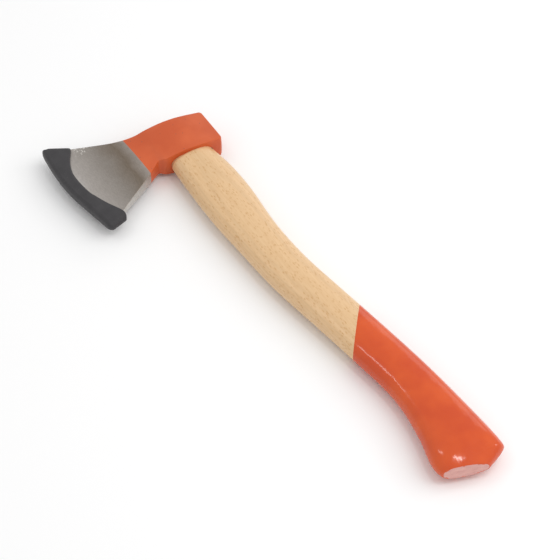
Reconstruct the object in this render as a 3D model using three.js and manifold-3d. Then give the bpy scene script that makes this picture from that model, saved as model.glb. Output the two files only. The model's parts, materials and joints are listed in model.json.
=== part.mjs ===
// A forestry hatchet: forged head, curved ash handle, wooden wedge, ring wedge and a slip-on edge guard.
// It lies on its side. X runs along the handle from the eye to the butt, Y from the cutting edge to the
// poll, and Z is the cheeks' normal. Millimetres.
// Shapes are drawn about the middle of the poll on the hatchet's mid-plane. The group is then moved so
// that the origin is the middle of the footprint, on the surface that the hatchet lies on.
import * as THREE from 'three';
import { mergeVertices } from 'three/addons/utils/BufferGeometryUtils.js';
import Module from 'manifold-3d';

const wasm = await Module();
wasm.setup();

// ---------- driving dimensions ----------
const clearance = 0.3;            // kept between neighbouring pieces

// Head. The edge is the curve y = edgeY + edgeTilt x + edgeBow x^2.
const bulgeHalf = 12.5;           // half thickness at the eye, the thickest place
const pollChamfer = 1.2;
const edgeY = -126;
const edgeTilt = 0.08;
const edgeBow = 0.00273;

// Eye, an oval along X that flares towards the top, where the wedges spread the wood
const eyeY = -27.3;
const eyeBottomX = 16;
const eyeTopX = -22;
const eyeHalfLength = { bottom: 18.3, top: 18.8 };
const eyeHalfWidth = { bottom: 8.2, top: 9 };
const eyePast = 4;             // how far the cutter for the eye runs past both faces
const ovalPower = 2.3;            // 2 is an ellipse, more is squarer
const ovalCorners = 28;

// Handle
const handleTopX = -22.6;
const topTilt = 0.11;             // the head's upper face isn't square to the handle either
const shoulderX = 16.9;
const shoulderTilt = 0.05;        // the head's lower face isn't square to the handle
const soleAt = { x: 383.8, y: -3 };
const soleAngle = -19 * Math.PI / 180;

// Kerf, wooden wedge and ring wedge
const kerf = { bottomX: 4, topHalf: 1.9, bottomHalf: 0.7, halfLength: 30 };
const wedgeGap = { end: 0.4, tip: 3 };      // the wedge ends short of the eye's ends and the kerf's bottom
const ring = { outer: 7, inner: 5.6, tip: 6.3, tipHalf: 0.15, depth: 9, corners: 32 };
const cutterPast = 2;             // how far the cutters for kerf and groove stand above the wood

// Edge guard
const guardHalf = 4.8;
const guardRound = 1.1;
const guardSlot = { toeX: -50.1, heelX: 43.2, belowEdge: 0.6 };

// ---------- solids ----------
const signedVolume = (geometry) => {
  const p = geometry.attributes.position;
  const index = geometry.index;
  const [a, b, c] = [new THREE.Vector3(), new THREE.Vector3(), new THREE.Vector3()];
  let volume = 0;
  for (let i = 0; i < index.count; i += 3) {
    a.fromBufferAttribute(p, index.getX(i));
    b.fromBufferAttribute(p, index.getX(i + 1));
    c.fromBufferAttribute(p, index.getX(i + 2));
    volume += a.dot(b.cross(c)) / 6;
  }
  return volume;
};

// A closed body through rings of equally many points. Each end is closed by a strip across its ring.
function loft(rings) {
  const count = rings[0].length;
  const points = rings.flat();
  const faces = [];
  for (let r = 0; r + 1 < rings.length; r++) {
    for (let i = 0; i < count; i++) {
      const j = (i + 1) % count;
      const [a, b, c, d] = [r * count + i, r * count + j, (r + 1) * count + j, (r + 1) * count + i];
      faces.push(a, b, c, a, c, d);
    }
  }
  const last = (rings.length - 1) * count;
  for (let i = 0; i + 1 < count / 2; i++) {
    const [a, b, c, d] = [i, i + 1, count - 2 - i, count - 1 - i];
    faces.push(c, b, a, d, c, a);
    faces.push(last + a, last + b, last + c, last + a, last + c, last + d);
  }
  const geometry = new THREE.BufferGeometry().setFromPoints(points);
  geometry.setIndex(faces);
  if (signedVolume(geometry) < 0) geometry.setIndex(faces.reverse());
  return geometry;
}

function solid(geometry) {
  const bare = geometry.clone();
  bare.deleteAttribute('normal');
  bare.deleteAttribute('uv');
  const merged = mergeVertices(bare, 1e-4);
  return new wasm.Manifold(new wasm.Mesh({
    numProp: 3,
    vertProperties: new Float32Array(merged.attributes.position.array),
    triVerts: new Uint32Array(merged.index.array),
  }));
}

function meshOf(name, manifold, color, roughness, metalness) {
  const { vertProperties, triVerts } = manifold.getMesh();
  const geometry = new THREE.BufferGeometry();
  geometry.setAttribute('position', new THREE.BufferAttribute(new Float32Array(vertProperties), 3));
  geometry.setIndex([...triVerts]);
  geometry.computeVertexNormals();
  const mesh = new THREE.Mesh(geometry, new THREE.MeshStandardMaterial({ color, roughness, metalness }));
  mesh.name = name;
  return mesh;
}

// Straight interpolation in rows of [key, value, value...], with keys in rising order.
function between(rows, key) {
  let i = 0;
  while (i < rows.length - 2 && key > rows[i + 1][0]) i++;
  const t = (key - rows[i][0]) / (rows[i + 1][0] - rows[i][0]);
  return rows[i].slice(1).map((value, k) => value + (rows[i + 1][k + 1] - value) * t);
}

// A smooth curve through [key, value] points, read at a key.
function smoothThrough(points, key) {
  let i = 0;
  while (i < points.length - 2 && key > points[i + 1][0]) i++;
  const slope = (k) => {
    const [low, high] = [points[Math.max(k - 1, 0)], points[Math.min(k + 1, points.length - 1)]];
    return (high[1] - low[1]) / (high[0] - low[0]);
  };
  const [[x0, y0], [x1, y1]] = [points[i], points[i + 1]];
  const width = x1 - x0;
  const t = (key - x0) / width;
  const [t2, t3] = [t * t, t * t * t];
  return y0 * (2 * t3 - 3 * t2 + 1) + slope(i) * width * (t3 - 2 * t2 + t)
    + y1 * (3 * t2 - 2 * t3) + slope(i + 1) * width * (t3 - t2);
}

// An oval section across X, widened by grow on all sides, tilted so that X changes with Y.
function oval(x, middleY, halfY, halfZ, grow = 0, tilt = 0) {
  const section = [];
  const sharpen = (v) => Math.sign(v) * Math.abs(v) ** (2 / ovalPower);
  for (let i = 0; i < ovalCorners; i++) {
    const angle = 2 * Math.PI * i / ovalCorners;
    const y = (halfY + grow) * sharpen(Math.cos(angle));
    const z = (halfZ + grow) * sharpen(Math.sin(angle));
    section.push(new THREE.Vector3(x + tilt * y, middleY + y, z));
  }
  return section;
}

// ---------- head ----------
// The outlines on the mid-plane, as [y, x] from the edge up to the poll
const topOutline = [[-123.5, -49.4], [-107, -42.5], [-97.5, -37.7], [-86, -32.4], [-75, -28],
  [-65, -25.5], [-55, -24], [-33, -22], [-12, -19.2], [0, -17.6]];
const bottomOutline = [[-117.6, 42.8], [-112, 42.2], [-106, 40.1], [-57.5, 12.8], [-54, 12], [-48, 13.8],
  [-30, 15.8], [0, 17.2]];

// Rows across the head: nominal y, share of the edge's bow, half thickness at the outlines and in
// the middle
const headRows = [
  [0, 0, 8, 8.2],
  [-pollChamfer, 0, 9.4, 9.7],
  [-10, 0, 10.8, 11.3],
  [-20, 0, 12, bulgeHalf],
  [-36, 0, 11.8, bulgeHalf],
  [-44, 0, 10.4, 11.4],
  [-48, 0, 9.3, 10.4],
  [-54, 0, 7.7, 9],
  [-57.5, 0, 7, 8.3],
  [-65, 0, 5.8, 7],
  [-76, 0.1, 5.2, 5.9],
  [-88, 0.3, 4.5, 4.9],
  [-100, 0.55, 3.6, 3.8],
  [-111, 0.75, 2.6, 2.7],
  [-121, 0.95, 1.6, 1.7],
  [edgeY, 1, 0.25, 0.25],
];
const crownShares = [[0, 0], [0.04, 0.1], [0.18, 0.7], [0.34, 1], [0.5, 1], [0.66, 1], [0.82, 0.7],
  [0.96, 0.1], [1, 0]];
const cornerDrop = 0.9;           // how far the corners between cheeks and edges are broken
const thinShare = 0.4;            // and on the thin blade, at most this share of the half thickness
const outlinePasses = 8;          // steps that find where a bowed row meets an outline

const bowed = (y, share, x) => y + share * (edgeTilt * x + edgeBow * x * x);

// One ring of the head, or of a space around the blade when fixed limits in x are given.
function headRing([y, share, halfEdge, halfMiddle], grow = 0, limits = null) {
  const outlineX = (outline) => {
    let x = 0;
    for (let pass = 0; pass < outlinePasses; pass++) [x] = between(outline, bowed(y, share, x));
    return x;
  };
  const inset = y === 0 ? pollChamfer : 0;
  const x0 = limits ? limits.toeX : outlineX(topOutline) + inset;
  const x1 = limits ? limits.heelX : outlineX(bottomOutline) - inset;
  const drop = limits ? 0 : Math.min(cornerDrop, halfEdge * thinShare);
  const near = crownShares.map(([u, crown], k) => {
    const x = x0 + (x1 - x0) * u;
    const corner = k === 0 || k === crownShares.length - 1;
    const z = halfEdge + (halfMiddle - halfEdge) * crown - (corner ? drop : 0);
    return new THREE.Vector3(x, bowed(y, share, x), z + grow);
  });
  const far = near.map((p) => new THREE.Vector3(p.x, p.y, -p.z)).reverse();
  return [...near, ...far];
}

const eyeSection = (x, grow, tilt = 0) => {
  const rows = [
    [eyeTopX, eyeHalfLength.top, eyeHalfWidth.top],
    [eyeBottomX, eyeHalfLength.bottom, eyeHalfWidth.bottom],
  ];
  const [halfY, halfZ] = between(rows, x);
  return oval(x, eyeY, halfY, halfZ, grow, tilt);
};
const headBlank = solid(loft(headRows.map((row) => headRing(row))));
const eyeStops = [eyeTopX - eyePast, eyeTopX, eyeBottomX, eyeBottomX + eyePast];
const eyeHole = solid(loft(eyeStops.map((x) => eyeSection(x, 0))));
const head = headBlank.subtract(eyeHole);

// ---------- handle ----------
// Poll-side and edge-side outlines as [x, y], and the half thickness
const pollSide = [[17, -8], [40, -5.9], [60, -5.1], [80, -6.1], [105, -8.4], [125, -8.5], [150, -7.5],
  [170, -5.1], [190, -1.9], [214, 1.6], [250, 6.8], [285, 11.4], [315, 14.2], [345, 16.5], [368, 17.4],
  [377, 16.8], [380, 12], [383, 5], [385, -1], [387, -8]];
const edgeSide = [[17, -46.5], [40, -47.8], [60, -48.3], [80, -48.6], [105, -47.1], [150, -44.5],
  [170, -42.9], [190, -39.5], [214, -35.6], [250, -30.5], [285, -26], [300, -25.2], [315, -25.9],
  [330, -27.9], [345, -30.5], [357, -33.8], [364, -35], [370, -34.6], [376, -32.4], [387, -28]];
const halfThickness = [[17, 8.9], [60, 10], [90, 10.7], [285, 10.8], [330, 11.6], [350, bulgeHalf],
  [360, bulgeHalf], [366, 11.7], [372, 10], [377, 8], [381, 6.4], [385, 4.4], [387, 3.4]];
const neckDrop = 0.4;             // the shoulder's step, just below the eye

const tongueRings = [handleTopX, eyeTopX + 6, 0, eyeBottomX - 1].map((x, k) => (
  eyeSection(x, -clearance, k === 0 ? topTilt : 0)));
const shaftStops = [0, 8, 22, 42, 62, 85, 108, 132, 152, 172, 196, 232, 268, 284, 298, 313, 327, 335,
  341, 346, 351.5, 355, 358.5, 361, 363.2, 365.2, 367, 368.6, 370].map((step) => shoulderX + step);
const shaftRings = shaftStops.map((x, k) => {
  const [high, low] = [smoothThrough(pollSide, x), smoothThrough(edgeSide, x)];
  const [halfZ] = between(halfThickness, x);
  return oval(x, (high + low) / 2, (high - low) / 2, halfZ, 0, k < 2 ? shoulderTilt : 0);
});
const neckRing = eyeSection(eyeBottomX - neckDrop, -clearance).map((p) => {
  p.x = shoulderX - neckDrop + shoulderTilt * (p.y - eyeY);
  return p;
});
const handleBlank = solid(loft([...tongueRings, neckRing, ...shaftRings]));

// The rounded end is sawn off along the sole.
function beyondPlane(point, angle) {
  const side = 120;
  const box = new THREE.BoxGeometry(side, side, side);
  box.translate(side / 2, 0, 0).rotateZ(angle).translate(point.x, point.y, 0);
  return solid(box);
}
const soleCut = beyondPlane(soleAt, soleAngle);

// Kerf and wooden wedge share one tapered shape: a strip along Y, thin towards the butt.
function wedgeShape(topX, bottomX, grow, halfLength) {
  const section = (x) => {
    const [half] = between([[handleTopX, kerf.topHalf], [kerf.bottomX, kerf.bottomHalf]], x);
    return [[1, 1], [-1, 1], [-1, -1], [1, -1]].map(([sy, sz]) => (
      new THREE.Vector3(
        x + (x < eyeTopX ? topTilt * sy * halfLength : 0),
        eyeY + sy * halfLength,
        sz * (half + grow),
      )));
  };
  return solid(loft([section(topX), section(bottomX)]));
}
const kerfCut = wedgeShape(handleTopX - cutterPast, kerf.bottomX, 0, kerf.halfLength);

// The ring wedge is sharp at its inner end, and its groove is the same shape with clearance.
function ringShape(grow) {
  const profile = [
    new THREE.Vector2(ring.inner - grow, grow ? cutterPast : 0),
    new THREE.Vector2(ring.outer + grow, grow ? cutterPast : 0),
    new THREE.Vector2(ring.outer + grow, -ring.depth / 2),
    new THREE.Vector2(ring.tip + ring.tipHalf + grow, -ring.depth - grow),
    new THREE.Vector2(ring.tip - ring.tipHalf - grow, -ring.depth - grow),
    new THREE.Vector2(ring.inner - grow, -ring.depth / 2),
  ];
  profile.push(profile[0].clone());
  const lathe = new THREE.LatheGeometry(profile, ring.corners);
  lathe.rotateZ(Math.PI / 2).translate(handleTopX, eyeY, 0);
  const indexed = mergeVertices(lathe.deleteAttribute('normal').deleteAttribute('uv'), 1e-4);
  if (signedVolume(indexed) < 0) indexed.setIndex([...indexed.index.array].reverse());
  return solid(indexed);
}
const ringGroove = ringShape(clearance);
const handle = [soleCut, kerfCut, ringGroove].reduce((body, cut) => body.subtract(cut), handleBlank);

const wedgeHalfLength = eyeHalfLength.bottom - clearance - wedgeGap.end;
const wedgeBlank = wedgeShape(handleTopX, kerf.bottomX - wedgeGap.tip, -clearance, wedgeHalfLength);
const woodenWedge = wedgeBlank.subtract(ringGroove);
const ringWedge = ringShape(0);

// ---------- edge guard ----------
// The outline runs along the outside from toe to heel and back along the inside, rounded at both ends.
const guardOutline = new THREE.Shape();
guardOutline.moveTo(-43.6, -108.4);
guardOutline.lineTo(-52.6, -123.6);
guardOutline.quadraticCurveTo(-54.2, -126.7, -50.4, -127.3);
guardOutline.splineThru([[-30.3, -129.5], [-10.3, -129.8], [14.7, -126.6], [42.6, -120.4]]
  .map(([x, y]) => new THREE.Vector2(x, y)));
guardOutline.quadraticCurveTo(49, -119, 47.4, -115.2);
guardOutline.lineTo(44.4, -105.8);
guardOutline.quadraticCurveTo(42, -100.4, 37.6, -103.4);
guardOutline.splineThru([[26.2, -110], [11.2, -115.3], [-3.8, -117.3], [-17.8, -117.7], [-28.8, -114.6],
  [-37.4, -109]].map(([x, y]) => new THREE.Vector2(x, y)));
guardOutline.quadraticCurveTo(-40.6, -106.2, -43.6, -108.4);

const guardGeometry = new THREE.ExtrudeGeometry(guardOutline, {
  depth: 2 * (guardHalf - guardRound),
  bevelThickness: guardRound,
  bevelSize: guardRound,
  bevelOffset: -guardRound,
  bevelSegments: 3,
  curveSegments: 5,
});
guardGeometry.translate(0, 0, -(guardHalf - guardRound));
// The slot is as thick as the blade's middle all along, so that the guard pulls straight off in -Y.
const slotRows = headRows.slice(-5).map(([y, share, , halfMiddle]) => (
  [y - (y === edgeY ? guardSlot.belowEdge : 0), share, halfMiddle, halfMiddle]));
const slot = solid(loft(slotRows.map((row) => headRing(row, clearance, guardSlot))));
const guard = solid(guardGeometry).subtract(slot);

// ---------- assembly ----------
const hatchet = new THREE.Group();
hatchet.add(
  meshOf('axe_head', head, 0xd8683f, 0.45, 0),
  meshOf('handle', handle, 0xe6c79b, 0.4, 0),
  meshOf('wooden_wedge', woodenWedge, 0xc79a63, 0.6, 0),
  meshOf('ring_wedge', ringWedge, 0x9a9a98, 0.35, 1),
  meshOf('edge_guard', guard, 0x48464a, 0.7, 0),
);
const box = new THREE.Box3().setFromObject(hatchet);
const middle = box.getCenter(new THREE.Vector3());
hatchet.position.set(-middle.x, -middle.y, -box.min.z);

export default hatchet;
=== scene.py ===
import json
from math import cos, pi, radians, sin

import bpy
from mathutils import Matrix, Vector

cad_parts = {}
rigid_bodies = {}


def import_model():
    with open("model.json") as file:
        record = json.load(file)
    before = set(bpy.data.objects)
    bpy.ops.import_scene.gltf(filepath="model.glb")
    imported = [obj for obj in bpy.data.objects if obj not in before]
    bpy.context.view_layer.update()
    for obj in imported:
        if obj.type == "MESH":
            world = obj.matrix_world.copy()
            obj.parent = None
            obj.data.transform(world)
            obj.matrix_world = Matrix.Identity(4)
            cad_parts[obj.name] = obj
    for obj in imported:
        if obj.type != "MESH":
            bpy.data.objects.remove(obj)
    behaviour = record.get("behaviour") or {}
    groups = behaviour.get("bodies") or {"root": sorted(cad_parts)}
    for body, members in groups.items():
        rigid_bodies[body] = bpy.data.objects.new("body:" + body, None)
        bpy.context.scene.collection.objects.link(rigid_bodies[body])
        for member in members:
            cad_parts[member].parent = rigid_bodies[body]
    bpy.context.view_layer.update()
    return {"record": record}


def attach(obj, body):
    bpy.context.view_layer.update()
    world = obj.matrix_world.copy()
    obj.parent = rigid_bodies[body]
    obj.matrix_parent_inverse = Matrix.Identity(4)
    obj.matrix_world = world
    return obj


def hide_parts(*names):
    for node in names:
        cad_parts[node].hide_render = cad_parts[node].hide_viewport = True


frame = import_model()
mm = 0.001

# all sizes below are mm from the middle of the poll, which is where the poll mount sits
mounts = {mount["name"]: Vector(mount["pos_m"]) for mount in frame["record"]["mounts"]}
pollMiddle = mounts["poll_face"]


def at(x, y, z=0):
    return pollMiddle + Vector((x, y, z)) * mm


# modelling helpers, each one a step that is done by hand in edit mode

def leaveEditMode():
    if bpy.context.mode != "OBJECT":
        bpy.ops.object.mode_set(mode="OBJECT")


def choose(piece, kind, test):                  # selects the vertices, edges or faces that pass the test
    bpy.ops.object.mode_set(mode="OBJECT")
    for other in bpy.context.view_layer.objects:
        other.select_set(other is piece)
    bpy.context.view_layer.objects.active = piece
    bpy.ops.object.mode_set(mode="EDIT")
    bpy.ops.mesh.select_mode(type=kind)
    bpy.ops.mesh.select_all(action="DESELECT")
    bpy.ops.object.mode_set(mode="OBJECT")
    mesh = piece.data
    spots = [(v.co - pollMiddle) / mm for v in mesh.vertices]
    if kind == "VERT":
        for vertex in mesh.vertices:
            vertex.select = test(spots[vertex.index])
    elif kind == "EDGE":
        for edge in mesh.edges:
            edge.select = test(*[spots[i] for i in edge.vertices])
    else:
        for face in mesh.polygons:
            face.select = test((face.center - pollMiddle) / mm, face.normal)
    bpy.ops.object.mode_set(mode="EDIT")


def everything(*spots):
    return True


def startPiece(name, primitive, scale=(1, 1, 1), **settings):   # a primitive, with its place in its mesh
    leaveEditMode()
    bpy.ops.object.select_all(action="DESELECT")
    primitive(**settings)
    piece = bpy.context.object
    piece.scale = scale
    piece.name = piece.data.name = name
    bpy.ops.object.transform_apply(location=True, rotation=True, scale=True)
    return piece


def finishModifier(piece, kind, **settings):    # adds a modifier and applies it at once
    bpy.ops.object.mode_set(mode="OBJECT")
    modifier = piece.modifiers.new(kind.lower(), kind)
    for key, value in settings.items():
        setattr(modifier, key, value)
    bpy.context.view_layer.objects.active = piece
    bpy.ops.object.modifier_apply(modifier=modifier.name)


def smoothOut(piece, levels):
    finishModifier(piece, "SUBSURF", levels=levels, render_levels=levels)


def carve(piece, cutter):                       # takes the cutter's shape out of the piece
    finishModifier(piece, "BOOLEAN", operation="DIFFERENCE", solver="EXACT", object=cutter)
    bpy.data.objects.remove(cutter)


def closeUp(piece):                             # merges doubles and turns all faces outwards
    choose(piece, "VERT", everything)
    bpy.ops.mesh.remove_doubles(threshold=0.01 * mm)
    bpy.ops.mesh.normals_make_consistent(inside=False)
    bpy.ops.object.mode_set(mode="OBJECT")


def giveMaterials(piece, *materials):
    for material in materials:
        piece.data.materials.append(material)


def paintFaces(piece, slotIndex, test):
    choose(piece, "FACE", test)
    piece.active_material_index = slotIndex
    bpy.ops.object.material_slot_assign()
    bpy.ops.object.mode_set(mode="OBJECT")


def handOver(piece, body, slot, *nodes, crease=38):     # smooth shading, then its place in the frame
    leaveEditMode()
    bpy.ops.object.select_all(action="DESELECT")
    piece.select_set(True)
    bpy.context.view_layer.objects.active = piece
    bpy.ops.object.shade_smooth_by_angle(angle=radians(crease))
    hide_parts(*nodes)
    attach(piece, body)
    print(piece.name, len(piece.data.polygons), "faces")


# A bar that is grown row by row, from the end that is made first.
def growRow(piece, corners, targets):
    bpy.ops.object.mode_set(mode="EDIT")
    bpy.ops.mesh.select_mode(type="FACE")
    bpy.ops.mesh.extrude_region_move()
    bpy.ops.object.mode_set(mode="OBJECT")
    fresh = [v.index for v in piece.data.vertices if v.select]
    endFaces = [f.index for f in piece.data.polygons if f.select]
    placeCorners(piece, fresh, corners, targets)
    bpy.ops.mesh.select_mode(type="FACE")
    bpy.ops.mesh.select_all(action="DESELECT")
    bpy.ops.object.mode_set(mode="OBJECT")
    for i in endFaces:
        piece.data.polygons[i].select = True


def placeCorners(piece, fresh, corners, targets):
    bpy.ops.object.mode_set(mode="EDIT")
    bpy.ops.mesh.select_mode(type="VERT")
    for corner, target in zip(corners, targets):
        bpy.ops.mesh.select_all(action="DESELECT")
        bpy.ops.object.mode_set(mode="OBJECT")
        vertices = piece.data.vertices
        nearest = min(fresh, key=lambda i: (vertices[i].co - corner).length)
        fresh.remove(nearest)
        vertices[nearest].select = True
        step = target - vertices[nearest].co
        bpy.ops.object.mode_set(mode="EDIT")
        bpy.ops.transform.translate(value=step)


def growBar(name, rows):        # each row is three lines of corners: the near side, mid-plane and far side
    count = len(rows[0]) // 3
    piece = startPiece(name, bpy.ops.mesh.primitive_grid_add, x_subdivisions=count - 1, y_subdivisions=2,
                       size=2)
    start = [Vector((2 * i / (count - 1) - 1, side, 0)) for side in (1, 0, -1) for i in range(count)]
    placeCorners(piece, list(range(3 * count)), start, rows[0])
    bpy.ops.mesh.select_all(action="SELECT")
    for last, new in zip(rows, rows[1:]):
        growRow(piece, last, new)
    closeUp(piece)
    return piece


# A bar of oval sections along X. A section is x, the middle's y, and the half sizes in y and z.
ovalShape = {
    "corners": 16,
    "squareness": 1.065,                        # how far the diagonal corners are pushed out
    "growth": 1.026,                            # makes up for what subdivision takes off
}


def startOval(name, x, y, halfY, halfZ):
    piece = startPiece(name, bpy.ops.mesh.primitive_circle_add, vertices=ovalShape["corners"], radius=1,
                       fill_type="NGON", rotation=(0, pi / 2, 0))
    bpy.ops.object.mode_set(mode="EDIT")
    bpy.ops.mesh.select_all(action="SELECT")
    bpy.ops.transform.translate(value=at(x, y))
    diagonal = cos(radians(45))                 # the circle is still 1 m in radius
    choose(piece, "VERT", lambda spot: abs(abs((spot.y - y) * mm) - diagonal) < 0.01)
    square = ovalShape["squareness"]
    bpy.ops.transform.resize(value=(1, square, square), center_override=at(x, y))
    bpy.ops.mesh.select_all(action="SELECT")
    grown = ovalShape["growth"] * mm
    bpy.ops.transform.resize(value=(1, halfY * grown, halfZ * grown), center_override=at(x, y))
    bpy.ops.mesh.select_mode(type="FACE")
    bpy.ops.mesh.select_all(action="SELECT")
    return piece


def growOval(last, new):
    middle = at(*new[:2])
    bpy.ops.mesh.extrude_region_move(TRANSFORM_OT_translate={"value": middle - at(*last[:2])})
    bpy.ops.transform.resize(value=(1, new[2] / last[2], new[3] / last[3]), center_override=middle)


def ovalBar(name, sections, levels):
    piece = startOval(name, *sections[0])
    for last, new in zip(sections, sections[1:]):
        growOval(last, new)
    closeUp(piece)
    smoothOut(piece, levels)
    return piece


# The head is grown from the poll to the edge, which is the curve y = edgeY + tilt x + bow x^2.
head = {
    "columns": [0, 0.2, 0.5, 0.8, 1],           # shares of the way from the upper outline to the lower one
    "crown": [0, 0.74, 1, 0.74, 0],             # how much of the middle's extra thickness each one gets
    "belly": 0.9,                               # how far the narrow faces swell between their rims
    "bellyEnd": -47,
    "tilt": 0.08,
    "bow": 0.00273,
    "rows": [                       # y, share of the bow, upper x, lower x, half thickness: rim and middle
        (0, 0, -17.7, 17.3, 9.6, 9.7),
        (-2.5, 0, -17.8, 17.2, 9.8, 10),
        (-10, 0, -18.9, 16.7, 10.9, 11.4),
        (-20, 0, -20.4, 16, 12, 12.5),
        (-28, 0, -21.4, 15.4, 12.1, 12.5),
        (-36, 0, -22.3, 14.6, 11.8, 12.4),
        (-44, 0, -23.1, 13.7, 10.3, 11.3),
        (-49.2, 0, -23.6, 13.4, 9.3, 10.3),
        (-50.6, 0, -23.7, 13, 9, 10.1),
        (-54, 0, -24, 10.9, 7.9, 9.1),
        (-55.4, 0, -24.1, 10.6, 7.5, 8.7),
        (-57.5, 0, -24.3, 11.7, 7, 8.2),
        (-65, 0, -25.5, 16.7, 5.8, 7),
        (-76, 0.1, -28.2, 23.1, 5.2, 5.9),
        (-88, 0.3, -33.3, 29.1, 4.5, 4.9),
        (-100, 0.55, -38.7, 34.7, 3.6, 3.8),
        (-111, 0.75, -43.6, 39.7, 2.6, 2.7),
        (-120.4, 0.95, -47.4, 42.2, 1.75, 1.8),
        (-121.4, 0.95, -47.8, 42.3, 1.6, 1.65),
        (-126, 1, -49.3, 42.8, 0.2, 0.2),
    ],
    "pollRimY": -1,
    "pollRound": 2.6,
    "rimRound": 0.6,
    "rimEnd": -122,                             # the thin edge itself stays sharp
    "paintLine": ((-24, -67.7), (19.3, -66.3)),
    "paintedGlintSpot": (-38, -100, 6),                # where bright glints are painted on the ground blade, near the toe
    "underside": 0.6,                           # bare faces whose normal's x is over this get a painted reflection of the bright floor
}
eye = {
    "y": -27.3,
    "upperX": -22,
    "lowerX": 16,
    "upper": (18.8, 9),                         # half sizes in y and z
    "lower": (18.3, 8.2),
    "slack": 0.3,
    "cutter": [(-30, 0.7), (-23.6, 0.7), (-22, 0), (14, 0), (15.2, 0), (17.6, 0.7), (24, 0.7)],     # x, flare
}


def bowedY(y, share, x):
    return y + share * (head["tilt"] * x + head["bow"] * x * x)


def headRow(y, share, upper, lower, rim, middle):
    corners = []
    for side in (1, 0, -1):
        for u, crown in zip(head["columns"], head["crown"]):
            belly = 0 if side or y < head["bellyEnd"] else head["belly"] * u ** 3
            x = upper + (lower - upper) * u + belly
            corners.append(at(x, bowedY(y, share, x), side * (rim + (middle - rim) * crown)))
    return corners


def eyeSection(x, grown=0):
    u = (x - eye["upperX"]) / (eye["lowerX"] - eye["upperX"])
    halves = [high + (low - high) * u + grown for high, low in zip(eye["upper"], eye["lower"])]
    return (x, eye["y"], *halves)


def roundRims(piece, angle, width, segments, test):     # bevels the sharp edges that pass the test
    choose(piece, "EDGE", lambda *ends: False)
    bpy.ops.mesh.edges_select_sharp(sharpness=radians(angle))
    bpy.ops.object.mode_set(mode="OBJECT")
    vertices = piece.data.vertices
    edges = piece.data.edges
    sharp = {e.index for e in edges if e.select}
    wanted = [i for i in sharp if test(*[(vertices[v].co - pollMiddle) / mm for v in edges[i].vertices])]
    choose(piece, "EDGE", lambda *ends: False)
    bpy.ops.object.mode_set(mode="OBJECT")
    for i in wanted:
        edges[i].select = True
    bpy.ops.object.mode_set(mode="EDIT")
    bpy.ops.mesh.bevel(offset=width * mm, segments=segments, affect="EDGES")
    bpy.ops.object.mode_set(mode="OBJECT")


def makeHead(enamel, *steels):
    piece = growBar("axeHead", [headRow(*row) for row in head["rows"]])
    roundRims(piece, 45, head["pollRound"], 3,
              lambda a, b: min(a.y, b.y) > head["pollRimY"] and abs(a.x - b.x) < 2)
    roundRims(piece, 45, head["rimRound"], 2,
              lambda a, b: min(a.y, b.y) > head["rimEnd"] and a.z * b.z > 0)
    smoothOut(piece, 3)
    carve(piece, ovalBar("eyeCutter", [eyeSection(*section) for section in eye["cutter"]], 2))
    giveMaterials(piece, enamel, *steels)
    onLine, lineNormal = head["paintLine"][0], slope(*head["paintLine"])
    cutAcross(piece, onLine, lineNormal)
    isBare = beyond(onLine, -lineNormal)
    paintFaces(piece, 1, isBare)
    # painted reflection: bare faces turned towards +x get the lighter steel that stands for the floor they
    # mirror
    paintFaces(piece, 2, lambda spot, normal: isBare(spot) and normal.x > head["underside"])
    handOver(piece, "hatchet", "painted_head", "axe_head")


# The handle: a tongue in the eye, a shoulder just below it, then the curved shaft down to the swollen foot.
handle = {
    "topX": -22.6,
    "tongue": [-22.6, -21.6, -12, 3, 12, 15],   # the x of the sections that fill the eye
    "shaft": [                                  # x, y on the poll side, y on the edge side, half thickness
        (16.2, -9.6, -46.4, 9.4),
        (17.2, -9.2, -46.8, 9.9),
        (24, -8.1, -47.1, 9.9),
        (36, -6.1, -47.7, 9.8),
        (50, -5.2, -48.3, 9.9),
        (68, -4.9, -48.7, 10.2),
        (88, -6.6, -48.6, 10.6),
        (110, -8.8, -46.9, 10.7),
        (135, -8.5, -45.5, 10.7),
        (160, -6.8, -44.1, 10.7),
        (185, -2.8, -40.5, 10.8),
        (214, 1.5, -35.6, 10.8),
        (240, 5.4, -31.8, 10.8),
        (264, 8.8, -28.5, 10.8),
        (285, 11.5, -25.4, 10.8),
        (302, 13.2, -24.5, 11.1),
        (317, 14.5, -25.6, 11.4),
        (332, 15.7, -28, 11.7),
        (345, 16.7, -30.7, 12),
        (355, 17.3, -33.8, 12.3),
        (362, 17.7, -35.4, 12.2),
        (368, 18, -35.6, 11.3),
        (373, 18, -34.7, 9.9),
        (376.2, 17.9, -33.2, 8.7),
        (378, 16.4, -32.4, 7.8),
        (381.5, 9.5, -30.7, 6.3),
        (385, -0.5, -28.8, 4.5),
        (388, -9, -28, 3),
    ],
    "soleAt": (383.6, -3),
    "soleAngle": 19,
    "soleEdge": 0.5,
    "soleSteps": [(0.7, 0.975), (0.3, 0.95)],   # rounds the sole's edge: share of it outwards, then shrinking
    "soleInset": 0.6,
    "paintLine": ((214, 2.5), (254, -30.5)),
    "paintThickness": 0.12,
    "paintLip": 0.5,
    "footX": 300,
    "endGrainX": 10,                            # faces across the grain, above this, are bare end grain
}
kerf = {"above": 3, "bottomX": 4, "topHalf": 2, "bottomHalf": 0.7, "halfLength": 30}
wedge = {"proud": 1.9, "bottomX": 0.8, "topHalf": 1.62, "bottomHalf": 0.5, "halfLength": 17.4, "rim": 0.25}
ring = {"inner": 5.6, "outer": 7, "depth": 9, "tipShare": 0.12, "steps": 72, "rim": 0.12, "slack": 0.3}


def slope(start, end):                          # the normal of the plane that cuts through along this line
    along = Vector((end[0] - start[0], end[1] - start[1], 0)).normalized()
    return Vector((-along.y, along.x, 0))


def beyond(onPlane, normal):                    # a test for spots on the far side of a plane
    return lambda spot, *rest: (spot - Vector((*onPlane, 0))).dot(normal) > 0


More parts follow.
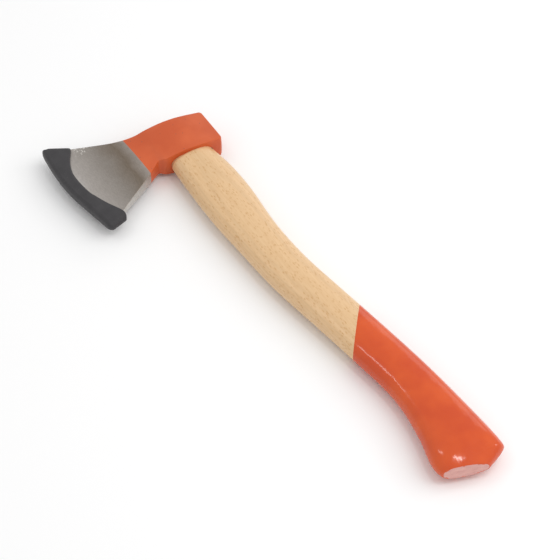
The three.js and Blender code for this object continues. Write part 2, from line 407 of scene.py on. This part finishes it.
def cutAcross(piece, onPlane, normal, **settings):
    choose(piece, "FACE", everything)
    bpy.ops.mesh.bisect(plane_co=at(*onPlane), plane_no=normal, **settings)


def thickenPaint(piece, onLine, normal, thickness, lip):    # the coat stands a little proud of what it covers
    cutAcross(piece, onLine, normal)
    edge = (onLine[0] + normal.x * lip, onLine[1] + normal.y * lip)
    cutAcross(piece, edge, normal)
    choose(piece, "VERT", lambda spot: (spot - Vector((*edge, 0))).dot(normal) > -0.01)
    bpy.ops.transform.shrink_fatten(value=thickness * mm)
    bpy.ops.object.mode_set(mode="OBJECT")


def taperedStrip(name, topX, bottomX, topHalf, bottomHalf, halfLength):
    middle = (topX + bottomX) / 2
    size = Vector((bottomX - topX, 2 * halfLength, 2 * bottomHalf)) * mm
    piece = startPiece(name, bpy.ops.mesh.primitive_cube_add, size=1, location=at(middle, eye["y"]),
                       scale=size)
    choose(piece, "FACE", lambda spot, normal: normal.x < -0.5)
    bpy.ops.transform.resize(value=(1, 1, topHalf / bottomHalf))
    bpy.ops.object.mode_set(mode="OBJECT")
    return piece


def ringShape(name, grown=0):                   # a sharp-edged ring, spun round its axis
    top = handle["topX"] - grown
    outer, inner = ring["outer"] + grown, ring["inner"] - grown
    middle = (outer + inner) / 2
    size = Vector((ring["depth"] + 2 * grown, outer - inner, 1)) * mm
    centre = at(top + ring["depth"] / 2 + grown, eye["y"] + middle)
    piece = startPiece(name, bpy.ops.mesh.primitive_plane_add, size=1, location=centre, scale=size)
    choose(piece, "VERT", lambda spot: spot.x > top + 1)
    tip = ring["tipShare"] + grown / 2
    bpy.ops.transform.resize(value=(1, tip, 1), center_override=at(0, eye["y"] + middle))
    choose(piece, "EDGE", everything)
    bpy.ops.mesh.delete(type="ONLY_FACE")
    bpy.ops.mesh.select_all(action="SELECT")
    bpy.ops.mesh.spin(steps=ring["steps"], angle=2 * pi, center=at(0, eye["y"]), axis=(1, 0, 0))
    closeUp(piece)
    return piece


def makeHandle(ash, lacquer, endGrain, sole):
    tongue = [eyeSection(x, -eye["slack"]) for x in handle["tongue"]]
    shaft = [(x, (high + low) / 2, (high - low) / 2, half) for x, high, low, half in handle["shaft"]]
    piece = ovalBar("ashHandle", tongue + shaft, 2)
    soleNormal = Vector((cos(radians(handle["soleAngle"])), -sin(radians(handle["soleAngle"])), 0))
    cutAcross(piece, handle["soleAt"], soleNormal, clear_outer=True)
    bpy.ops.mesh.select_mode(type="EDGE")
    bpy.ops.mesh.select_all(action="DESELECT")
    bpy.ops.mesh.select_non_manifold()
    edge = handle["soleEdge"] * mm
    for outwards, shrink in handle["soleSteps"]:
        bpy.ops.mesh.extrude_edges_move(TRANSFORM_OT_translate={"value": soleNormal * edge * outwards})
        bpy.ops.transform.resize(value=(shrink, shrink, shrink))
    bpy.ops.mesh.edge_face_add()
    bpy.ops.mesh.inset(thickness=handle["soleInset"] * mm)
    closeUp(piece)
    giveMaterials(piece, ash, lacquer, endGrain, sole)
    onLine, lineNormal = handle["paintLine"][0], slope(*handle["paintLine"])
    thickenPaint(piece, onLine, lineNormal, handle["paintThickness"], handle["paintLip"])
    paintFaces(piece, 1, beyond(onLine, lineNormal))
    # the sole faces get the pale pink lacquer, whose colour is a painted reflection
    paintFaces(piece, 3, lambda spot, normal: spot.x > handle["footX"] and normal.dot(soleNormal) > 0.999)
    carve(piece, taperedStrip("kerfCutter", handle["topX"] - kerf["above"], kerf["bottomX"], kerf["topHalf"],
                              kerf["bottomHalf"], kerf["halfLength"]))
    carve(piece, ringShape("grooveCutter", ring["slack"]))
    paintFaces(piece, 2, lambda spot, normal: spot.x < handle["endGrainX"] and abs(normal.x) > 0.8)
    handOver(piece, "hatchet", "ash_handle", "handle")


def makeWoodenWedge(beech):
    piece = taperedStrip("woodenWedge", handle["topX"] - wedge["proud"], wedge["bottomX"], wedge["topHalf"],
                         wedge["bottomHalf"], wedge["halfLength"])
    choose(piece, "EDGE", everything)
    bpy.ops.mesh.bevel(offset=wedge["rim"] * mm, segments=2, affect="EDGES")
    closeUp(piece)
    carve(piece, ringShape("wedgeGroove", ring["slack"]))
    giveMaterials(piece, beech)
    handOver(piece, "hatchet", "wedge_wood", "wooden_wedge")


def makeRingWedge(steel):
    piece = ringShape("ringWedge")
    roundRims(piece, 60, ring["rim"], 1, everything)
    giveMaterials(piece, steel)
    handOver(piece, "hatchet", "wedge_steel", "ring_wedge")


# The guard is grown from the toe to the heel; each row is a line from its inner edge to its outer one.
guard = {
    "shares": [0, 0.14, 0.5, 0.86, 1],
    "innerRim": 0.8,
    "outerRim": 3,
    "rows": [                                   # inner x, inner y, outer x, outer y, half thickness
        (-42.9, -107.2, -54, -126.3, 4.1),
        (-40.6, -106.8, -51.2, -127.6, 4.7),
        (-37.4, -109.2, -46, -128.4, 4.8),
        (-28.8, -114.7, -30.3, -129.6, 4.8),
        (-17.8, -117.8, -18.5, -130, 4.8),
        (-3.8, -117.5, -5, -129.6, 4.8),
        (11.2, -115.4, 10, -127.5, 4.8),
        (26.2, -110, 27.5, -123.9, 4.8),
        (36.2, -104.2, 41, -121.6, 4.7),
        (41.2, -101.9, 46.5, -120.6, 4.1),
        (45.5, -103.9, 49.2, -118, 1.8),
    ],
    "middleLine": ((-49, -117.5), (46, -110)),  # parts the inner rim from the outer one
    "heelX": 42.4,
    "slotGap": 0.25,
    "slotToe": -50.1,                           # past the toe, so the slot is open there
    "slotStart": -86,                           # the blade's rows below this y shape the slot
    "slotBottom": -126.6,
}


def guardRow(innerX, innerY, outerX, outerY, half):
    corners = []
    for side in (1, 0, -1):
        for share in guard["shares"]:
            x = innerX + (outerX - innerX) * share
            y = innerY + (outerY - innerY) * share
            corners.append(at(x, y, side * half))
    return corners


def slotRow(y, share, upper, lower, rim, middle):
    gap = guard["slotGap"]
    return headRow(y, share, guard["slotToe"], lower + gap, middle + gap, middle + gap)


def makeGuard(plastic):
    piece = growBar("edgeGuard", [guardRow(*row) for row in guard["rows"]])
    below = beyond(guard["middleLine"][0], -slope(*guard["middleLine"]))

    def isOuter(spot):
        return below(spot) or spot.x > guard["heelX"]

    roundRims(piece, 60, guard["outerRim"], 3, lambda a, b: a.z * b.z > 0 and isOuter(a) and isOuter(b))
    roundRims(piece, 60, guard["innerRim"], 2, lambda a, b: a.z * b.z > 0 and not (isOuter(a) and isOuter(b)))
    smoothOut(piece, 2)
    bladeRows = [row for row in head["rows"] if row[0] < guard["slotStart"]]
    bladeRows[-1] = (guard["slotBottom"], *bladeRows[-1][1:])
    carve(piece, growBar("slotCutter", [slotRow(*row) for row in bladeRows]))
    giveMaterials(piece, plastic)
    handOver(piece, "guard", "guard_plastic", "edge_guard")


# materials

def toLinear(hexColour):                        # an sRGB hex colour as linear red, green, blue and alpha
    parts = [int(hexColour[i:i + 2], 16) / 255 for i in (1, 3, 5)]
    return [p / 12.92 if p <= 0.04045 else ((p + 0.055) / 1.055) ** 2.4 for p in parts] + [1]


def newMaterial(name):
    material = bpy.data.materials.new(name)
    material.use_nodes = True
    return material, material.node_tree, material.node_tree.nodes["Principled BSDF"]


def addNode(tree, kind, sockets, stops=None, **settings):   # sockets take a value, or another node's output
    node = tree.nodes.new("ShaderNode" + kind)
    for key, value in settings.items():
        setattr(node, key, value)
    for key, value in sockets.items():
        if isinstance(value, bpy.types.NodeSocket):
            tree.links.new(value, node.inputs[key])
        else:
            node.inputs[key].default_value = value
    for i, (position, value) in enumerate(stops or []):
        stop = node.color_ramp.elements[i] if i < 2 else node.color_ramp.elements.new(position)
        stop.position = position
        stop.color = toLinear(value) if isinstance(value, str) else (value, value, value, 1)
    return node


def setSockets(node, tree, **sockets):
    for key, value in sockets.items():
        socket = node.inputs[key.replace("_", " ")]
        if isinstance(value, bpy.types.NodeSocket):
            tree.links.new(value, socket)
        else:
            socket.default_value = value


def coords(tree, stretch=(1, 1, 1)):            # Object coordinates, squeezed along the axes by the stretch
    spot = addNode(tree, "TexCoord", {}).outputs["Object"]
    return addNode(tree, "Mapping", {"Vector": spot, "Scale": stretch}).outputs["Vector"]


def grain(size):                                # the noise scale whose blobs are about this many mm
    return 1000 / size


def bands(period):                              # the wave scale whose bands are this many mm apart
    return pi / 10 / (period * mm)


wood = {"dark": "#dcb484", "light": "#e4bf91", "fleck": "#c8955a"}


def satinEnamel():      # sprayed satin enamel on a forging: soft sheen, faint orange peel, a few specks
    material, tree, shader = newMaterial("satin orange enamel")
    here = coords(tree)
    cloud = addNode(tree, "TexNoise", {"Vector": here, "Scale": grain(28), "Detail": 3})
    tone = addNode(tree, "ValToRGB", {"Fac": cloud.outputs["Fac"]},
                   [(0.35, "#c85425"), (0.65, "#d36030")])
    dust = addNode(tree, "TexVoronoi", {"Vector": here, "Scale": grain(5.5)})
    speck = addNode(tree, "ValToRGB", {"Fac": dust.outputs["Distance"]}, [(0.05, 0), (0.085, 1)])
    paint = addNode(tree, "Mix", {0: speck.outputs["Color"], 6: toLinear("#8e4f40"),
                                  7: tone.outputs["Color"]}, data_type="RGBA")
    peel = addNode(tree, "TexNoise", {"Vector": here, "Scale": grain(1.6), "Detail": 2})
    waves = addNode(tree, "TexNoise", {"Vector": here, "Scale": grain(11), "Detail": 1})
    slow = addNode(tree, "Bump", {"Height": waves.outputs["Fac"], "Strength": 0.35, "Distance": 0.0006})
    fine = addNode(tree, "Bump", {"Height": peel.outputs["Fac"], "Strength": 0.3, "Distance": 0.0001,
                                  "Normal": slow.outputs["Normal"]})
    setSockets(shader, tree, Base_Color=paint.outputs[2], Roughness=0.42, IOR=1.5,
               Normal=fine.outputs["Normal"])
    return material


# from the edge to the paint: lighter near the edge, browner towards the paint, a little lighter again right
# by it
steelTones = [(0, "#e4e1dd"), (0.22, "#c3bcb6"), (0.6, "#a39b93"), (0.83, "#8b7e70"), (1, "#b6aca4")]
# painted reflection: lighter steel for the underside faces, standing for the bright floor they mirror
floorReflectionTones = [(0, "#d6d3ce"), (1, "#c9c5bf")]


def groundSteel(name, tones):   # belt-ground carbon steel: fine lines along the edge, mottling, a dull shine, and painted glints near the toe
    material, tree, shader = newMaterial(name)
    here = coords(tree)
    lines = addNode(tree, "TexNoise", {"Vector": coords(tree, (1, 3, 1)), "Scale": grain(2.4), "Detail": 5})
    cloud = addNode(tree, "TexNoise", {"Vector": here, "Scale": grain(14), "Detail": 4})
    height = addNode(tree, "SeparateXYZ", {"Vector": here}).outputs["Y"]
    level = addNode(tree, "MapRange", {"Value": height, "From Min": at(0, -122).y,
                                       "From Max": at(0, -62).y})
    wavy = addNode(tree, "Math", {0: cloud.outputs["Fac"], 1: 0.16, 2: level.outputs["Result"]},
                   operation="MULTIPLY_ADD")
    tone = addNode(tree, "ValToRGB", {"Fac": wavy.outputs["Value"]}, tones)
    streak = addNode(tree, "ValToRGB", {"Fac": lines.outputs["Fac"]}, [(0.3, 0.84), (0.7, 1)])
    ground = addNode(tree, "Mix", {0: 1, 6: tone.outputs["Color"], 7: streak.outputs["Color"]},
                     data_type="RGBA", blend_type="MULTIPLY")
    # painted highlight: bright glint specks are mixed into the steel colour within a few mm of the toe spot
    fromToe = addNode(tree, "VectorMath", {0: here, 1: at(*head["paintedGlintSpot"])}, operation="DISTANCE")
    near = addNode(tree, "MapRange", {"Value": fromToe.outputs["Value"], "From Min": 14 * mm,
                                      "From Max": 4 * mm, "To Min": 0, "To Max": 0.27})
    spots = addNode(tree, "TexNoise", {"Vector": here, "Scale": grain(1.6), "Detail": 3})
    bright = addNode(tree, "Math", {0: spots.outputs["Fac"], 1: near.outputs["Result"]}, operation="ADD")
    paintedGlints = addNode(tree, "ValToRGB", {"Fac": bright.outputs["Value"]}, [(0.76, 0), (0.88, 1)])
    metal = addNode(tree, "Mix", {0: paintedGlints.outputs["Color"], 6: ground.outputs[2],
                                  7: toLinear("#dedad4")}, data_type="RGBA")
    rough = addNode(tree, "MapRange", {"Value": cloud.outputs["Fac"], "From Min": 0.3, "From Max": 0.7,
                                       "To Min": 0.34, "To Max": 0.46})
    scratch = addNode(tree, "Bump", {"Height": lines.outputs["Fac"], "Strength": 0.25,
                                     "Distance": 0.0001})
    setSockets(shader, tree, Base_Color=metal.outputs[2], Metallic=1, Roughness=rough.outputs["Result"],
               Normal=scratch.outputs["Normal"])
    return material


def lacqueredAsh():     # pale wood under clear lacquer: growth rings, soft streaks, short golden flecks
    material, tree, shader = newMaterial("clear-lacquered ash")
    rings = addNode(tree, "TexWave", {"Vector": coords(tree, (0.1, 0.35, 1)), "Scale": bands(2.2),
                                      "Distortion": 5, "Detail": 2, "Detail Scale": 0.7},
                    bands_direction="Z")
    streaks = addNode(tree, "TexNoise", {"Vector": coords(tree, (0.1, 1, 1)), "Scale": grain(1.6),
                                         "Detail": 4, "Roughness": 0.6})
    tone = addNode(tree, "ValToRGB", {"Fac": streaks.outputs["Fac"]},
                   [(0.3, wood["dark"]), (0.7, wood["light"])])
    line = addNode(tree, "ValToRGB", {"Fac": rings.outputs["Fac"]}, [(0, 0.95), (0.5, 1)])
    body = addNode(tree, "Mix", {0: 1, 6: tone.outputs["Color"], 7: line.outputs["Color"]},
                   data_type="RGBA", blend_type="MULTIPLY")
    crooked = addNode(tree, "TexNoise", {"Vector": coords(tree), "Scale": grain(2), "Detail": 2})
    wander = addNode(tree, "Mix", {0: 0.0012, 4: coords(tree, (0.35, 1, 1)),
                                   5: crooked.outputs["Color"]}, data_type="VECTOR")
    pores = addNode(tree, "TexVoronoi", {"Vector": wander.outputs[1], "Scale": grain(1.5)})
    fleck = addNode(tree, "ValToRGB", {"Fac": pores.outputs["Distance"]}, [(0.1, 0.15), (0.42, 1)])
    patch = addNode(tree, "TexNoise", {"Vector": coords(tree, (0.6, 1, 1)), "Scale": grain(4)})
    where = addNode(tree, "ValToRGB", {"Fac": patch.outputs["Fac"]}, [(0.42, 1), (0.6, 0.15)])
    keep = addNode(tree, "Math", {0: fleck.outputs["Color"], 1: where.outputs["Color"]},
                   operation="MAXIMUM")
    flecked = addNode(tree, "Mix", {0: keep.outputs["Value"], 6: toLinear(wood["fleck"]),
                                    7: body.outputs[2]}, data_type="RGBA")
    relief = addNode(tree, "Bump", {"Height": streaks.outputs["Fac"], "Strength": 0.15,
                                    "Distance": 0.0002})
    setSockets(shader, tree, Base_Color=flecked.outputs[2], Roughness=0.45, IOR=1.5, Coat_Weight=0.35,
               Coat_Roughness=0.22, Normal=relief.outputs["Normal"])
    return material


def dippedLacquer():    # thick dipped gloss lacquer: wet-looking, with long sags that break up the highlights
    material, tree, shader = newMaterial("dipped orange gloss lacquer")
    here = coords(tree)
    cloud = addNode(tree, "TexNoise", {"Vector": here, "Scale": grain(22), "Detail": 2})
    tone = addNode(tree, "ValToRGB", {"Fac": cloud.outputs["Fac"]},
                   [(0.35, "#cd4a1a"), (0.65, "#d8561e")])
    sags = addNode(tree, "TexNoise", {"Vector": coords(tree, (0.4, 1, 1)), "Scale": grain(7),
                                      "Detail": 2})
    peel = addNode(tree, "TexNoise", {"Vector": here, "Scale": grain(2.2), "Detail": 1})
    slow = addNode(tree, "Bump", {"Height": sags.outputs["Fac"], "Strength": 0.5, "Distance": 0.0006})
    fine = addNode(tree, "Bump", {"Height": peel.outputs["Fac"], "Strength": 0.2, "Distance": 0.00012,
                                  "Normal": slow.outputs["Normal"]})
    setSockets(shader, tree, Base_Color=tone.outputs["Color"], Roughness=0.13, IOR=1.5,
               Normal=fine.outputs["Normal"])
    return material


def soleLacquerWithPaintedReflection():      # matt lacquer on the sole's end grain; its pale pink colour is a painted reflection of the bright surroundings
    material, tree, shader = newMaterial("sole lacquer with painted reflection")
    fibres = addNode(tree, "TexVoronoi", {"Vector": coords(tree, (0.4, 1, 1)), "Scale": grain(0.9)})
    rings = addNode(tree, "TexNoise", {"Vector": coords(tree, (1, 1, 3)), "Scale": grain(6), "Detail": 4})
    tone = addNode(tree, "ValToRGB", {"Fac": rings.outputs["Fac"]}, [(0.3, "#d69c94"), (0.7, "#e4b1a8")])
    dot = addNode(tree, "ValToRGB", {"Fac": fibres.outputs["Distance"]}, [(0.08, 0.75), (0.3, 1)])
    paleReflection = addNode(tree, "Mix", {0: 1, 6: tone.outputs["Color"], 7: dot.outputs["Color"]},
                     data_type="RGBA", blend_type="MULTIPLY")
    pits = addNode(tree, "Bump", {"Height": fibres.outputs["Distance"], "Strength": 0.4,
                                  "Distance": 0.0001})
    setSockets(shader, tree, Base_Color=paleReflection.outputs[2], Roughness=0.62, IOR=1.45,
               Normal=pits.outputs["Normal"])
    return material


def sawnWood(name, dark, light, pore):          # bare sawn end grain: growth rings and open pores
    material, tree, shader = newMaterial(name)
    rings = addNode(tree, "TexWave", {"Vector": coords(tree), "Scale": bands(6.73), "Distortion": 3,
                                      "Detail": 2, "Detail Scale": 0.8},
                    wave_type="RINGS", rings_direction="X")
    fibres = addNode(tree, "TexVoronoi", {"Vector": coords(tree, (0.3, 1, 1)), "Scale": grain(0.7)})
    tone = addNode(tree, "ValToRGB", {"Fac": rings.outputs["Fac"]}, [(0.1, dark), (0.8, light)])
    dot = addNode(tree, "ValToRGB", {"Fac": fibres.outputs["Distance"]}, [(0.1, pore), (0.35, 1)])
    sawn = addNode(tree, "Mix", {0: 1, 6: tone.outputs["Color"], 7: dot.outputs["Color"]},
                   data_type="RGBA", blend_type="MULTIPLY")
    pits = addNode(tree, "Bump", {"Height": dot.outputs["Color"], "Strength": 0.4, "Distance": 0.0001})
    setSockets(shader, tree, Base_Color=sawn.outputs[2], Roughness=0.6, IOR=1.45,
               Normal=pits.outputs["Normal"])
    return material


def ringSteel():        # stamped mild steel ring, hammered in: bright but scuffed
    material, tree, shader = newMaterial("hammered mild steel")
    scuffs = addNode(tree, "TexNoise", {"Vector": coords(tree), "Scale": grain(1.4), "Detail": 4})
    tone = addNode(tree, "ValToRGB", {"Fac": scuffs.outputs["Fac"]}, [(0.3, "#86827c"), (0.7, "#b9b6b0")])
    rough = addNode(tree, "MapRange", {"Value": scuffs.outputs["Fac"], "To Min": 0.3, "To Max": 0.6})
    dents = addNode(tree, "Bump", {"Height": scuffs.outputs["Fac"], "Strength": 0.4,
                                   "Distance": 0.0002})
    setSockets(shader, tree, Base_Color=tone.outputs["Color"], Metallic=1, Roughness=rough.outputs["Result"],
               Normal=dents.outputs["Normal"])
    return material


def mouldedPlastic():   # soft moulded polyethylene: dark grey, matt, a fine spark-eroded grain and pale dust
    material, tree, shader = newMaterial("moulded grey polyethylene")
    here = coords(tree)
    cloud = addNode(tree, "TexNoise", {"Vector": here, "Scale": grain(9), "Detail": 4})
    tone = addNode(tree, "ValToRGB", {"Fac": cloud.outputs["Fac"]}, [(0.3, "#323032"), (0.7, "#3b393b")])
    dust = addNode(tree, "TexVoronoi", {"Vector": here, "Scale": grain(2.6)})
    speck = addNode(tree, "ValToRGB", {"Fac": dust.outputs["Distance"]}, [(0.06, 0), (0.1, 1)])
    dark = addNode(tree, "Mix", {0: speck.outputs["Color"], 6: toLinear("#5c5955"),
                                 7: tone.outputs["Color"]}, data_type="RGBA")
    pebble = addNode(tree, "TexNoise", {"Vector": here, "Scale": grain(0.7), "Detail": 3})
    bumps = addNode(tree, "Bump", {"Height": pebble.outputs["Fac"], "Strength": 0.5,
                                   "Distance": 0.00015})
    setSockets(shader, tree, Base_Color=dark.outputs[2], Roughness=0.55, IOR=1.5,
               Normal=bumps.outputs["Normal"])
    return material


# the studio: a pale table, soft light from above and a camera looking down along the handle
studio = {
    "aim": (161.15, -35.52),
    "distance": 1.5197,
    "tilt": 40,
    "turn": 58,
    "lens": 128.57,
    "sensor": 36,
    "world": "#ffffff",
    "worldStrength": 0.72,
    "lights": [                                 # name, direction to the lamp, distance, width, depth, watts
        ("key softbox", (0.35, 0.6, 0.75), 1.6, 1.3, 1.3, 9),
        ("overhead lamp", (0.25, 0.12, 0.96), 1.6, 0.08, 0.4, 1.8),
        ("window strip", (-0.545, -0.49, 1.45), 1.6, 0.06, 0.45, 0.9),
        ("low back panel", (-0.55, 0.75, 0.37), 1.6, 1.2, 0.5, 1.6),
        ("side lamp", (0.2, 0.8, 0.52), 1.6, 0.06, 0.25, 0.5),
    ],
}


def makeCamera():
    tilt, turn = radians(studio["tilt"]), radians(studio["turn"])
    away = Vector((sin(turn) * sin(tilt), -cos(turn) * sin(tilt), cos(tilt)))
    stand = at(*studio["aim"]) + away * studio["distance"]
    bpy.ops.object.camera_add(location=stand, rotation=(tilt, 0, turn))
    camera = bpy.context.object
    camera.name = "camera"
    camera.data.lens = studio["lens"]
    camera.data.sensor_width = studio["sensor"]
    bpy.context.scene.camera = camera


def makeTable():
    bpy.ops.mesh.primitive_plane_add(size=6)
    table = bpy.context.object
    table.name = "table"
    material, tree, shader = newMaterial("white studio table")
    setSockets(shader, tree, Base_Color=toLinear("#fcfcfc"), Roughness=0.8)
    giveMaterials(table, material)


def makeLights():
    world = bpy.context.scene.world or bpy.data.worlds.new("studio")
    bpy.context.scene.world = world
    world.use_nodes = True
    sky = world.node_tree.nodes["Background"]
    sky.inputs["Color"].default_value = toLinear(studio["world"])
    sky.inputs["Strength"].default_value = studio["worldStrength"]
    for name, direction, distance, width, depth, watts in studio["lights"]:
        towards = Vector(direction).normalized()
        turned = towards.to_track_quat("Z", "Y").to_euler()
        bpy.ops.object.light_add(type="AREA", location=towards * distance, rotation=turned)
        lamp = bpy.context.object
        lamp.name = lamp.data.name = name
        lamp.data.shape = "RECTANGLE"
        lamp.data.size = width
        lamp.data.size_y = depth
        lamp.data.energy = watts
        lamp.visible_glossy = name != "key softbox"     # too wide: it would wash out the gloss lacquer


makeCamera()
makeTable()
makeLights()
print("studio ready")
makeHead(satinEnamel(), groundSteel("ground carbon steel", steelTones),
         groundSteel("ground steel with painted floor reflection", floorReflectionTones))
makeHandle(lacqueredAsh(), dippedLacquer(), sawnWood("sawn ash end grain", "#d2a878", "#e6c498", 0.7),
           soleLacquerWithPaintedReflection())
makeWoodenWedge(sawnWood("sawn beech", "#c08a5c", "#d0a074", 0.75))
makeRingWedge(ringSteel())
makeGuard(mouldedPlastic())

bpy.context.scene.view_settings.view_transform = "Standard"
